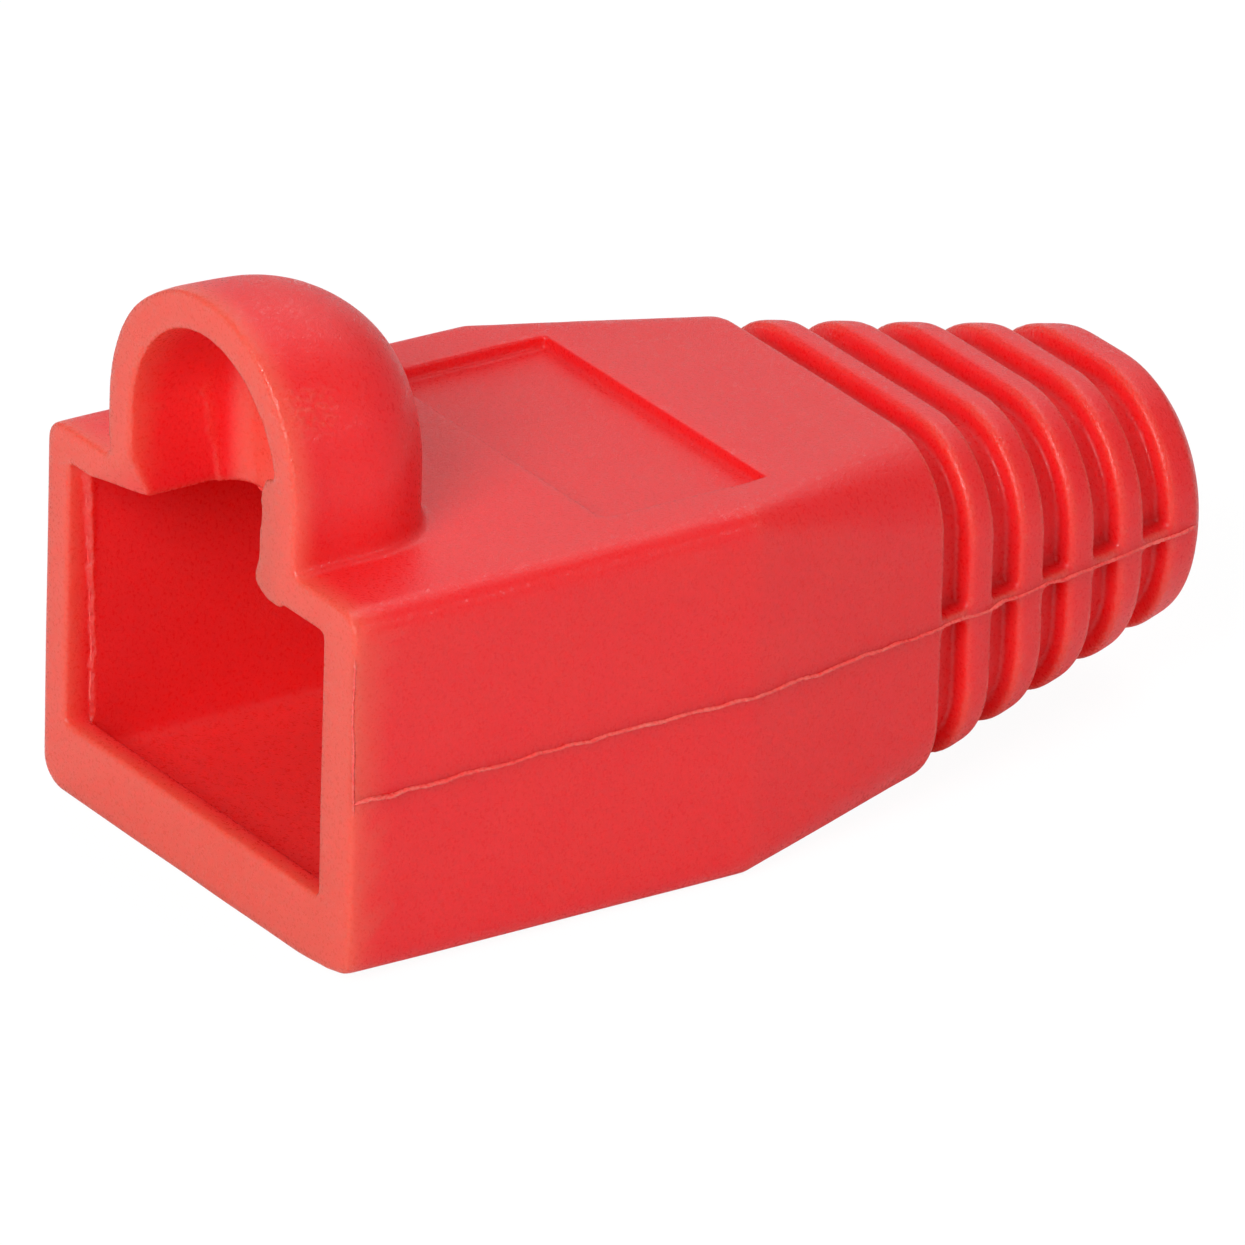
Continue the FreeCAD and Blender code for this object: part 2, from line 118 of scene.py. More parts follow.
# %% [markdown]
# ## Helpers for shaders and grids
# Everything later is made from two things: shader nodes joined by links, and meshes whose
# points lie in a grid of rows and columns.  Nodes could be added one by one and faces one by
# one, but a few helpers keep every later cell down to what is special about it.

# %% Node and grid helpers
def new_material(name):
    """A node material with its nodes and links at hand, and no starting nodes."""
    material = bpy.data.materials.new(name)
    material.use_nodes = True
    material.node_tree.nodes.clear()
    return material, material.node_tree.nodes, material.node_tree.links


def node(nodes, kind, **settings):
    """A new shader node with some of its sockets or properties set by name."""
    made = nodes.new("ShaderNode" + kind)
    for name, value in settings.items():
        if name in made.inputs:
            made.inputs[name].default_value = value
        else:
            setattr(made, name, value)
    return made


def grid_mesh(name, points, closed=False):
    """A mesh from an array of points with two grid directions, in millimetres.

    Point (i, j) is joined to (i + 1, j) and (i, j + 1).  When closed, j wraps round."""
    rows, columns = points.shape[:2]
    index = np.arange(rows * columns).reshape(rows, columns)
    if closed:
        index = np.hstack((index, index[:, :1]))
    corners = (index[:-1, :-1], index[1:, :-1], index[1:, 1:], index[:-1, 1:])
    faces = np.stack(corners, axis=-1).reshape(-1, 4)
    mesh = bpy.data.meshes.new(name)
    mesh.from_pydata(points.reshape(-1, 3) * MM, [], faces.tolist())
    mesh.update()
    piece = bpy.data.objects.new(name, mesh)
    scene.collection.objects.link(piece)
    return piece


print("helpers for nodes and grids are ready")

# %% [markdown]
# ## A pale world
# Soft PVC shows its shape through broad, gentle reflections, so much of the light is an even
# pale world.  A world bright enough to look white would wash the red out, so the camera
# alone is shown white and the boot gets a quarter of it.

# %% World
WORLD_STRENGTH = 0.25
ROOM_WHITE = (1.0, 0.985, 0.97, 1)
WHITE = (1, 1, 1, 1)


def show_camera(nodes, links, output, unseen, seen):
    """Join two shaders to an output: the second for the camera's own rays, the first for
    every other ray."""
    rays = node(nodes, "LightPath")
    swap = node(nodes, "MixShader")
    out = node(nodes, output)
    links.new(rays.outputs["Is Camera Ray"], swap.inputs["Fac"])
    links.new(unseen.outputs[0], swap.inputs[1])
    links.new(seen.outputs[0], swap.inputs[2])
    links.new(swap.outputs[0], out.inputs["Surface"])


world = bpy.data.worlds.new("pale_room")
world.use_nodes = True
scene.world = world
nodes, links = world.node_tree.nodes, world.node_tree.links
nodes.clear()
room = node(nodes, "Background", Color=ROOM_WHITE, Strength=WORLD_STRENGTH)
white = node(nodes, "Background", Color=WHITE, Strength=1.0)
show_camera(nodes, links, "OutputWorld", room, white)
print("world", world.name, "at strength", WORLD_STRENGTH)

# %% [markdown]
# ## A white floor
# The floor is one large square under the boot.  Rays from the camera see it nearly full white
# with a trace of shadow: a weak diffuse shader adds the shadow to an even glow.  The boot gets
# an ordinary white floor and its bounced light, which keeps its underside from going black.

# %% Floor
FLOOR_SIZE = 3000.0
FLOOR_WHITE = 0.9
FLOOR_GLOW = 0.95
FLOOR_SHADOW = 0.09
floor_material, nodes, links = new_material("white_floor")
plain = node(nodes, "BsdfDiffuse", Color=(FLOOR_WHITE, FLOOR_WHITE, FLOOR_WHITE, 1))
trace = node(nodes, "BsdfDiffuse", Color=(FLOOR_SHADOW, FLOOR_SHADOW, FLOOR_SHADOW, 1))
glow = node(nodes, "Emission", Color=WHITE, Strength=FLOOR_GLOW)
both = node(nodes, "AddShader")
links.new(trace.outputs[0], both.inputs[0])
links.new(glow.outputs[0], both.inputs[1])
show_camera(nodes, links, "OutputMaterial", plain, both)

side = np.array((-FLOOR_SIZE / 2, FLOOR_SIZE / 2))
across, along = np.meshgrid(side, side, indexing="ij")
floor = grid_mesh("floor", np.stack((across, along, np.full_like(across, low[2])), -1))
floor.data.materials.append(floor_material)
print("floor at z", round(low[2], 2), "mm")

# %% [markdown]
# ## Four lamps
# A large lamp in front fills the mouth and catches the rings' front edges.  A larger one
# overhead, a little behind, gives the tops their pale sheen.  A broad card behind the left
# fills the far side, and a small lamp behind the right draws the bright speckled line along
# the upper edge.  Area lamps make soft highlights, where points or suns would make hard ones.

# %% Lamps
LAMP_DISTANCE = 350.0
# Each lamp's name, direction from the boot, side in millimetres and level.
LAMPS = (("front_lamp", (0.42, -0.70, 0.57), 160.0, 0.52),
         ("top_lamp", (-0.25, 0.46, 0.85), 260.0, 0.18),
         ("back_card", (-0.75, 0.51, 0.42), 320.0, 0.10),
         ("edge_lamp", (0.74, 0.51, 0.42), 30.0, 0.04))


def area_lamp(name, direction, size, level):
    """A square lamp in a direction from the boot, turned to face it.

    The level is how bright it makes a white card that faces it, where the world alone at
    strength 1 makes that card 1: power = level 4 pi distance squared."""
    lamp = bpy.data.objects.new(name, bpy.data.lights.new(name, "AREA"))
    lamp.data.size = size * MM
    lamp.data.energy = level * 4 * math.pi * (LAMP_DISTANCE * MM) ** 2
    place = Vector(direction).normalized() * LAMP_DISTANCE
    facing = place.to_track_quat("Z", "Y").to_matrix().to_4x4()
    lamp.matrix_world = Matrix.Translation(place * MM) @ facing
    scene.collection.objects.link(lamp)


for lamp in LAMPS:
    area_lamp(*lamp)
print("lamps:", ", ".join(lamp[0] for lamp in LAMPS))

# %% [markdown]
# ## Torn lines
# Where soft PVC squeezed between two steel faces, its edge is torn.  Smooth noise looks like
# a wave and pure noise like a saw, so a torn line mixes both.  The generator is seeded, so
# every run tears the same way.  All torn pieces here are a section carried along a path.

# %% Torn lines and carried sections
SEED = 11
rng = np.random.default_rng(SEED)


def jagged(count, step, roughness):
    """Random values from 0 to 1 along a line: knots every few points, joined straight, with
    a share of fresh noise at every point."""
    knots = rng.uniform(0, 1, count // step + 2)
    line = np.interp(np.arange(count) / step, np.arange(len(knots)), knots)
    return np.clip((1 - roughness) * line + roughness * rng.uniform(0, 1, count), 0, 1)


def shade_smooth(mesh):
    """Smooth shading on every face."""
    mesh.polygons.foreach_set("use_smooth", np.ones(len(mesh.polygons), bool))


def carried_section(name, points):
    """A closed section carried along a path, with its open ends filled, its faces turned
    outwards and its shading smooth."""
    piece = grid_mesh(name, points, closed=True)
    work = bmesh.new()
    work.from_mesh(piece.data)
    bmesh.ops.holes_fill(work, edges=work.edges)
    bmesh.ops.recalc_face_normals(work, faces=work.faces)
    work.to_mesh(piece.data)
    work.free()
    shade_smooth(piece.data)
    return piece


print("random draws start from seed", SEED)

# %% [markdown]
# ## A film left in the slot
# On one side of the latch slot a film of flash wasn't trimmed.  It lies level with the front
# face, a sixth of a millimetre thick, and its free edge waves.  It is a thin flat section
# carried up the slot's edge: the place of the free edge is given at a dozen heights,
# with jagged noise on top.  It starts inside the slot's wall, so that the two grow together
# when the skin is made.

# %% Slot film
# The record's open space ends this far inside the slot's own walls.
SLOT_SPARE_BACK = 0.2
SLOT_SPARE_SIDE = 1.1
ARCH_HEIGHT = 6.45
FILM_THICK = 0.16
FILM_STEP = 0.05
FILM_OVERLAP = 0.30
FILM_NOISE = 0.05
FILM_BOW = 0.03
FILM_RIPPLE = 0.02
# For the free edge and the ripple: points between knots and share of fresh noise.
EDGE_TEAR = (3, 0.5)
RIPPLE_TEAR = (6, 0.0)
# Heights above the parting plane, and how far right of the middle the free edge is there.
FILM_HEIGHTS = np.array((3.88, 4.05, 4.2, 4.5, 4.8, 5.3, 5.7, 6.2, 6.4, 6.7, 7.05, 7.2))
FILM_EDGE = np.array((2.90, 2.42, 2.30, 2.33, 2.46, 2.44, 2.50, 2.55, 2.46, 2.52, 2.72, 3.1))
# The section: across from wall to edge and back, from front to rear, and how thick.
SECTION_ACROSS = np.array((0.0, 0.35, 0.7, 0.92, 1.0, 0.92, 0.7, 0.35, 0.0))
SECTION_REAR = np.array((0.0, 0.0, 0.05, 0.2, 0.5, 0.8, 0.95, 1.0, 1.0))
SECTION_THICK = np.array((1.0, 1.0, 1.0, 0.9, 0.6, 0.9, 1.0, 1.0, 1.0))
slot_back = slot_high[1] + SLOT_SPARE_BACK
slot_half = slot_high[0] + SLOT_SPARE_SIDE


def film(name):
    """The film's section carried up in z, from inside the slot's wall to the free edge.

    The wall stands at half the slot's width, and above the arch's centre on its circle,
    x = sqrt(half squared less rise squared).  Across the film u is 0 at the wall and 1 at
    the edge.  The film bows back by u squared, and ripples more towards its edge."""
    film_z = parting_z + FILM_HEIGHTS
    heights = np.arange(film_z[0], film_z[-1], FILM_STEP)
    count = len(heights)
    edge_x = (np.interp(heights, film_z, FILM_EDGE)
              + FILM_NOISE * (jagged(count, *EDGE_TEAR) - 0.5))
    rise = np.clip(heights - (parting_z + ARCH_HEIGHT), 0, None)
    wall_x = np.sqrt(slot_half ** 2 - rise ** 2) + FILM_OVERLAP
    u = SECTION_ACROSS
    across = wall_x[:, None] + (edge_x - wall_x)[:, None] * u
    ripple = FILM_RIPPLE * (jagged(count, *RIPPLE_TEAR) - 0.5)[:, None] * u
    depth = (mouth_y + FILM_BOW * u ** 2 + ripple
             + SECTION_REAR * (FILM_THICK * SECTION_THICK))
    tall = np.broadcast_to(heights[:, None], across.shape)
    return carried_section(name, np.stack((across, depth, tall), -1))


slot_film = film("slot_film")
print("film", round(float(slot_half - FILM_EDGE.min()), 2), "mm wide")

# %% [markdown]
# ## Soft edges all over
# A CAD solid has edges as sharp as a blade, while a mould cut in steel and filled with soft
# PVC rounds every one of them.  A Bevel modifier needs clean edge loops, and this solid is
# made of loose triangles.  So a copy of it, with the film laid in, is cut into even cells by
# the voxel remesher, which makes one skin of the two.  Its points are then pulled towards
# their neighbours, which leaves flat walls alone and turns each edge into a small round.
# The remesher takes no cell under a tenth of a millimetre in a metre-sized world, so the
# copy is worked in millimetres.

# %% The skin's cells
SKIN_CELL = 0.07
MERGE = 0.0005


def as_millimetres(source, added, name):
    """A copy of a mesh object, merged along its triangles' edges, with a second one laid in,
    and enlarged to millimetres."""
    mesh = source.data.copy()
    mesh.name = name
    merged = bmesh.new()
    merged.from_mesh(mesh)
    merged.from_mesh(added.data)
    bmesh.ops.scale(merged, vec=(1 / MM, 1 / MM, 1 / MM), verts=merged.verts)
    bmesh.ops.remove_doubles(merged, verts=merged.verts, dist=MERGE)
    merged.to_mesh(mesh)
    merged.free()
    copy = bpy.data.objects.new(name, mesh)
    scene.collection.objects.link(copy)
    return copy


def with_modifier(piece, kind, **settings):
    """The piece's mesh replaced by what one modifier makes of it."""
    modifier = piece.modifiers.new(kind.lower(), kind)
    for name, value in settings.items():
        setattr(modifier, name, value)
    evaluated = piece.evaluated_get(bpy.context.evaluated_depsgraph_get())
    mesh = bpy.data.meshes.new_from_object(evaluated)
    piece.modifiers.clear()
    piece.data = mesh


skin = as_millimetres(cad_boot, slot_film, "boot_skin")
bpy.data.objects.remove(slot_film)
with_modifier(skin, "REMESH", mode="VOXEL", voxel_size=SKIN_CELL)
print("cells on the skin:", len(skin.data.polygons))

# %% [markdown]
# ## Numbers in and out of a mesh
# The skin has hundreds of thousands of points.  A Python loop over them would take minutes,
# while foreach_get and foreach_set copy them all at once, and numpy works on the whole array.
# A vertex's neighbours are the other ends of its edges: bincount adds up their values for
# every vertex in one go.  The last helper, ramp, says how much a place takes part in a change.

# %% Mesh arrays
def get_array(items, field):
    """One vector of three for every item of a mesh, as an array."""
    values = np.empty(len(items) * 3, np.float32)
    items.foreach_get(field, values)
    return values.reshape(-1, 3).astype(float)


def get_points(mesh):
    """The vertices of a mesh as an array."""
    return get_array(mesh.vertices, "co")


def get_normals(mesh):
    """The vertex normals of a mesh as an array."""
    return get_array(mesh.vertex_normals, "vector")


def set_points(mesh, points):
    """Put an array of points back into a mesh."""
    mesh.vertices.foreach_set("co", points.astype(np.float32).ravel())
    mesh.update()


def get_edges(mesh):
    """Both ends of every edge of a mesh, as two index arrays."""
    ends = np.empty(len(mesh.edges) * 2, np.int64)
    mesh.edges.foreach_get("vertices", ends)
    ends = ends.reshape(-1, 2)
    return ends[:, 0], ends[:, 1]


def edge_count(first, last, size):
    """How many edges meet at each vertex."""
    return np.bincount(first, minlength=size) + np.bincount(last, minlength=size)


def neighbour_mean(values, first, last, count):
    """For each vertex, the mean of the values at the other ends of its edges."""
    columns = values.reshape(len(values), -1).T
    total = [np.bincount(first, c[last], len(c)) + np.bincount(last, c[first], len(c))
             for c in columns]
    return (np.array(total).T / count[:, None]).reshape(values.shape)


def ramp(values, span, base=0.0):
    """0 before a span's first number and 1 past its second, both measured from a base.

    Between them is an easy S, 3 t squared less 2 t cubed.  A span that falls runs the
    other way."""
    start, stop = base + span[0], base + span[1]
    t = np.clip((values - start) / (stop - start), 0.0, 1.0)
    return t * t * (3.0 - 2.0 * t)


first, last = get_edges(skin.data)
points = get_points(skin.data)
print("the skin has", len(points), "points and", len(first), "edges")

# %% [markdown]
# ## How soft each edge is
# Every edge gets a few passes, fewer in the label recess.  Some places get more: the outer
# edges at the mouth, because that is where the boot is handled and where the mould halves
# close, the bottom corner on the right, the faint front and right edges of the recess, and
# the tail's rings.  A weight from 0 to 1 says how much of each pass a point takes.

# %% Where edges are softer
TOP_WALL = 1.0
RIM_DEPTH = 0.5
LABEL_START = 8.6
LABEL_END = 13.4
LABEL_HALF = 4.95
LABEL_SHARE = 0.4
TAIL_START = 18.1
# Spans over which a weight rises from 0 to 1, in millimetres: those for the label's ends and
# the tail count from there, NEAR_TOP and OUTER_TOP from the top, OUTER_BOTTOM from the
# cavity's floor, CORNER_REACH from the mouth, and the rest from the middle or the floor.
LABEL_LEAD = (-0.4, 0.0)
LABEL_TRAIL = (0.4, 0.0)
LABEL_SIDE = (5.6, 5.3)
NEAR_TOP = (-1.0, -0.7)
OUTER_SIDE = (6.3, 6.6)
OUTER_BOTTOM = (-1.35, -1.6)
OUTER_TOP = (-0.3, 0.0)
CORNER_SIDE = (5.9, 6.5)
CORNER_HEIGHT = (1.3, 0.7)
CORNER_REACH = (6.0, 3.0)
FAINT_NEAR = (0.7, 0.3)
FAINT_SIDE = (5.6, 5.2)
FAINT_FRONT = (-0.8, -0.2)
FAINT_BACK = (-0.2, -0.8)
TAIL_LEAD = (-0.2, 0.2)
top_z = cavity_high[2] + TOP_WALL
label_front = mouth_y + LABEL_START
label_back = mouth_y + LABEL_END


def base_weight(x, y, z):
    """All of each pass, and a smaller share in the label recess."""
    label = (ramp(y, LABEL_LEAD, label_front) * ramp(y, LABEL_TRAIL, label_back)
             * ramp(z, NEAR_TOP, top_z) * ramp(np.abs(x), LABEL_SIDE))
    return 1.0 - (1.0 - LABEL_SHARE) * label


def rim_weight(x, y, z):
    """The outer walls just behind the mouth."""
    outside = np.maximum.reduce((ramp(np.abs(x), OUTER_SIDE),
                                 ramp(z, OUTER_BOTTOM, cavity_low[2]),
                                 ramp(z, OUTER_TOP, top_z)))
    return ramp(y, (RIM_DEPTH, RIM_DEPTH / 2), mouth_y) * outside


def corner_weight(x, y, z):
    """The bottom edge on the right, near the mouth."""
    return ramp(x, CORNER_SIDE) * ramp(z, CORNER_HEIGHT) * ramp(y, CORNER_REACH, mouth_y)


def faint_weight(x, y, z):
    """The label recess's front edge and its right edge."""
    front = ramp(np.abs(y - mouth_y - LABEL_START), FAINT_NEAR) * ramp(np.abs(x), FAINT_SIDE)
    right = (ramp(np.abs(x - LABEL_HALF), FAINT_NEAR)
             * ramp(y, FAINT_BACK, label_back) * ramp(y, FAINT_FRONT, label_front))
    return np.maximum(front, right) * ramp(z, NEAR_TOP, top_z)


def tail_weight(x, y, z):
    """Everything from the first ring back."""
    return ramp(y, TAIL_LEAD, mouth_y + TAIL_START)


print("label recess from", LABEL_START, "to", LABEL_END, "mm behind the mouth")

# %% Soften
BASE_PASSES = 5
RIM_PASSES = 3
CORNER_PASSES = 22
LABEL_PASSES = 14
TAIL_PASSES = 7


def soften(points, first, last, weight, passes):
    """Move every point half its weight of the way to its neighbours' mean, several times."""
    count = edge_count(first, last, len(points))
    for _ in range(passes):
        points = points + 0.5 * weight[:, None] * (
            neighbour_mean(points, first, last, count) - points)
    return points


for place, weight, passes in (("everywhere", base_weight, BASE_PASSES),
                              ("rim", rim_weight, RIM_PASSES),
                              ("corner", corner_weight, CORNER_PASSES),
                              ("label", faint_weight, LABEL_PASSES),
                              ("tail", tail_weight, TAIL_PASSES)):
    points = soften(points, first, last, weight(*points.T), passes)
    print("softened", place, "with", passes, "passes")

# %% [markdown]
# ## An off-centre core
# No moulding is quite true.  The core that forms the mouth sat a little to one side, so one
# wall is thinner than the other, and the lip it left ends in a torn line.  This is a small
# move of the skin's points, found from where a point is.

# %% Off-centre core
CORE_SHIFT = 0.265
MOUTH_TAPER = 0.095
LIP_LENGTH = 0.75
LIP_RAGGED = 0.016
# Where the lip ends behind the mouth, at heights above the parting plane, and the length
# and phase of each wave that tears it.
LIP_HEIGHTS = (-1.0, 1.5, 3.6)
LIP_ENDS = (0.72, 0.59, 0.46)
LIP_WAVES = ((0.31, 0.4), (0.53, 1.9), (0.83, 4.1), (1.37, 2.7))
# Spans for the lip: past its end, across inside the walls, above its foot, below its top.
LIP_FADE = (0.10, 0.0)
LIP_OUTER = (6.7, 6.2)
LIP_INNER = (3.6, 4.6)
LIP_BOTTOM = (-0.75, -0.35)
LIP_TOP = (0.9, 0.3)


def torn(z, ripples):
    """A torn line along a height: the sum of short waves, each of a length and a phase."""
    return sum(np.sin(z * 2 * math.pi / length + phase) for length, phase in ripples)


def shift_core(points):
    """Points of the mouth's lip move to -X, all of the way inside it, up to its torn end.

    On the left the end lies further back towards the floor.  The move grows with x by the
    mouth's taper."""
    x, y, z = points.T
    line = np.interp(z - parting_z, LIP_HEIGHTS, LIP_ENDS)
    torn_end = mouth_y + line + LIP_RAGGED * torn(z, LIP_WAVES)
    end = np.where(x < 0, torn_end, mouth_y + LIP_LENGTH)
    fade = (ramp(y - end, LIP_FADE) * ramp(np.abs(x), LIP_OUTER) * ramp(np.abs(x), LIP_INNER)
            * ramp(z, LIP_BOTTOM, cavity_low[2]) * ramp(z, LIP_TOP, cavity_high[2]))
    moved = points.copy()
    moved[:, 0] -= fade * (CORE_SHIFT + MOUTH_TAPER * x / cavity_high[0])
    return moved


points = shift_core(points)
set_points(skin.data, points)
print("core off centre by", CORE_SHIFT, "mm")

# %% [markdown]
# ## Pressed-out edges
# The mouth's outer edges flared a little on the left and below when the boot was drawn off
# the core.  Which way a point faces tells the outer wall from the inner one beside it.

# %% Pressed-out edges
SLEEVE_OUT = 0.09
HOOD_OUT = 0.16
BELOW_OUT = 0.13
# Spans for the flare: behind the mouth, how squarely a point faces that way, and where the
# sleeve's left wall, the hood's left side and the front's lower edge lie.
FLARE_REACH = (4.0, 1.0)
FLARE_FACING = (0.0, 0.6)
SLEEVE_SIDE = (-6.0, -6.6)
HOOD_FOOT = (-0.2, 0.8)
HOOD_SIDE = (-2.0, -3.4)
BELOW_HEIGHT = (1.2, 0.8)
BELOW_LEFT = (-7.0, -6.2)
BELOW_RIGHT = (6.6, 4.5)


def press_out(points, normals):
    """Points of the mouth's outer edges moved out: the left wall and the hood's left side
    to -X, the front edge below downwards.

    Each move is its greatest height times the ramps that keep it to its place."""
    x, y, z = points.T
    ahead = ramp(y, FLARE_REACH, mouth_y)
    left = ramp(-normals[:, 0], FLARE_FACING)
    wall = SLEEVE_OUT * ahead * ramp(x, SLEEVE_SIDE)
    hood = HOOD_OUT * ramp(z, HOOD_FOOT, top_z) * ramp(x, HOOD_SIDE)
    below = (BELOW_OUT * ahead * ramp(-normals[:, 2], FLARE_FACING) * ramp(z, BELOW_HEIGHT)
             * ramp(x, BELOW_LEFT) * ramp(x, BELOW_RIGHT))
    moved = points.copy()
    moved[:, 0] -= left * np.maximum(wall, hood)
    moved[:, 2] -= below
    return moved


points = press_out(points, get_normals(skin.data))
set_points(skin.data, points)
print("edges out by up to", HOOD_OUT, "mm")

# %% [markdown]
# ## A torn step in the slot
# Behind a torn line in the latch slot the wall stands out by a hair, where one core's film
# lay against the other.  A separate sheet would show a pale edge, so the skin's own points
# are lifted along their normals instead.

# %% Torn step
SLOT_STEP = 0.055
STEP_RAGGED = 0.02
# Where the step starts behind the mouth, at heights above the parting plane, and the
# length and phase of each wave that tears it.
STEP_HEIGHTS = np.array((4.05, 4.4, 4.9, 5.5, 6.65, 7.2, 7.7, 8.1))
STEP_STARTS = np.array((2.60, 2.54, 2.45, 2.26, 2.09, 2.3, 2.8, 3.4))
STEP_WAVES = ((0.23, 0.9), (0.37, 2.4), (0.61, 4.4), (1.1, 1.2))
# Spans for the step: inside the slot's walls, up from its bottom, down from its top, how
# squarely a point faces right or forward, and how far behind the line it lies.
STEP_MARGIN = (0.3, 0.15)
STEP_BOTTOM = (3.9, 4.0)
STEP_TOP = (7.6, 6.2)
STEP_FACING = (0.2, 0.6)
STEP_RISE = (0.0, 0.08)


def slot_step(points, normals):
    """How high each point of the slot's left wall and back stands.

    It is the step's height times ramps that are 0 outside the slot, on walls that face
    another way and before the torn line."""
    x, y, z = points.T
    line = mouth_y + np.interp(z - parting_z, STEP_HEIGHTS, STEP_STARTS)
    within = (ramp(np.abs(x), STEP_MARGIN, slot_half) * ramp(y, STEP_MARGIN, slot_back)
              * ramp(z, STEP_BOTTOM, parting_z) * ramp(z, STEP_TOP, parting_z))
    facing = ramp(np.maximum(normals[:, 0], -normals[:, 1]), STEP_FACING)
    behind = ramp(y - line - STEP_RAGGED * torn(z, STEP_WAVES), STEP_RISE)
    return SLOT_STEP * within * facing * behind


normals = get_normals(skin.data)
points += normals * slot_step(points, normals)[:, None]
set_points(skin.data, points)
print("step in the slot", SLOT_STEP, "mm")

# %% [markdown]
# ## Sunk walls and a flow mark
# The soft walls sank by a few hundredths of a millimetre as they cooled, and fine wrinkles on
# the hood's right shoulder show where the PVC met last.  Both are swells made of plane waves,
# long ones for the walls and short ones for the wrinkles.

# %% Sink and wrinkles
SINK = 0.016
SINK_WAVES = 9
SINK_LENGTHS = (2.5, 7.0)
WRINKLE = 0.035
WRINKLE_WAVES = 14
WRINKLE_LENGTHS = (0.16, 0.34)
WRINKLE_GAIN = 3
# The patch's centre from the boot's middle, the mouth and the parting plane, and its size.
PATCH_CENTRE = (3.75, 0.75, 9.0)
PATCH_SIZE = (0.95, 0.9, 0.6)


def waves(points, count, shortest, longest):
    """A gentle random swell: the mean of plane waves with seeded directions and phases."""
    heading = rng.normal(size=(count, 3))
    heading /= np.linalg.norm(heading, axis=1)[:, None]
    length = rng.uniform(shortest, longest, count)
    phase = rng.uniform(0, 2 * math.pi, count)
    return np.sin(points @ (heading / length[:, None]).T * 2 * math.pi + phase).mean(1)


def flow_mark(points):
    """Height of the fine wrinkles: short waves in a soft oval patch that fades by
    exp(-(distance / patch size) squared)."""
    centre = np.array(PATCH_CENTRE) + (0.0, mouth_y, parting_z)
    away = (points - centre) / PATCH_SIZE
    patch = WRINKLE * np.exp(-(away ** 2).sum(1))
    swell = waves(points, WRINKLE_WAVES, *WRINKLE_LENGTHS)
    return patch * np.clip(WRINKLE_GAIN * swell, -1, 1)


lift = SINK * waves(points, SINK_WAVES, *SINK_LENGTHS) + flow_mark(points)
points += get_normals(skin.data) * lift[:, None]
set_points(skin.data, points)
print("walls sunk up to", SINK, "mm, wrinkles up to", WRINKLE, "mm")

# %% [markdown]
# ## Fewer triangles where nothing happens
# Flat walls don't need cells of a fifteenth of a millimetre.  The Decimate modifier collapses
# edges where that changes the surface least, so the rounds keep their points.  The hollows
# are measured first, while the points still lie evenly: a softened copy of the points and of
# their normals shows only the wider shape, and a hollow lies below it.

# %% Thin the skin
SKIN_TRIANGLES = 185000
HOLLOW_PASSES = 100
HOLLOW_DEPTH = 0.16
HOLLOW_START = 17.2
HOLLOW_LEAD = (0.0, 1.0)
TINY = 1e-9


def store_value(mesh, name, values):
    """Keep one number per vertex under a name that a material can read."""
    layer = mesh.attributes.new(name, "FLOAT", "POINT")
    layer.data.foreach_set("value", values.astype(np.float32))


def hollow_value(points, first, last, normals):
    """0 to 1, how deep a point lies in a groove of the tail: how far the mean of its wider
    surroundings stands from it, along the mean of their normals, over a set depth."""
    full = np.ones(len(points))
    wide = soften(points, first, last, full, HOLLOW_PASSES)
    outward = soften(normals, first, last, full, HOLLOW_PASSES)
    outward /= np.linalg.norm(outward, axis=1)[:, None] + TINY
    depth = np.clip(((wide - points) * outward).sum(1) / HOLLOW_DEPTH, 0, 1)
    return depth * ramp(points[:, 1], HOLLOW_LEAD, mouth_y + HOLLOW_START)


# The hollow value sets painted shade in the tail's grooves.
store_value(skin.data, "hollow", hollow_value(points, first, last, get_normals(skin.data)))
triangles = 2 * len(skin.data.polygons)
with_modifier(skin, "DECIMATE", ratio=min(1.0, SKIN_TRIANGLES / triangles))
print("triangles:", triangles, "to", len(skin.data.polygons))

# %% [markdown]
# ## Where glow, light and shade are painted
# The edges and the mouth's front are painted paler and more orange than the walls, a painted
# glow and sheen that stands in for light coming through the thin PVC.  A node could look for
# edges while it renders, but values kept on the vertices are quicker and bake cleanly.  There
# are four:
#
# - edge: how far a vertex stands out from the mean of its neighbours along its normal, over
#   the square of their distance, which is the curvature.  The label recess is left out.  It
#   sets the painted glow along edges, and the grain's relief and polish there.
# - front: near 1 close to the mouth, where the walls end, and on the slot's thin back, where
#   it sets a painted glow and sheen.
# - inside: 1 on the cavity's floor and less on its walls: painted light in the cavity,
#   strongest where a point faces up.
# - hollow: how deep a point lies in the tail's grooves, kept from before the thinning; it
#   sets painted shade in the grooves.

# %% Values on the skin
EDGE_ROUND = 0.22
EDGE_SPREAD = 3
# How far the painted glow and sheen reach back from the mouth and onto the slot's back.
FRONT_DEPTH = 0.85
BACK_SHARE = 0.85
BACK_FACING = (0.3, 0.9)
# Spans for the label recess, then for the cavity: from its walls, floor, ceiling, the mouth
# twice, and how squarely a point faces up.
LABEL_OUT = (0.4, 0.0)
LABEL_OUT_SIDE = (5.8, 5.5)
LABEL_OUT_TOP = (-1.2, -0.9)
INSIDE_SIDE = (0.35, 0.25)
INSIDE_BOTTOM = (-1.25, -1.15)
INSIDE_TOP = (0.3, 0.2)
INSIDE_FRONT = (0.3, 0.6)
INSIDE_BACK = (12.5, 12.0)
# The painted light in the cavity: this share on its walls, all of it where a point faces up.
INSIDE_WALLS = 0.3
INSIDE_FACING = (0.3, 0.8)


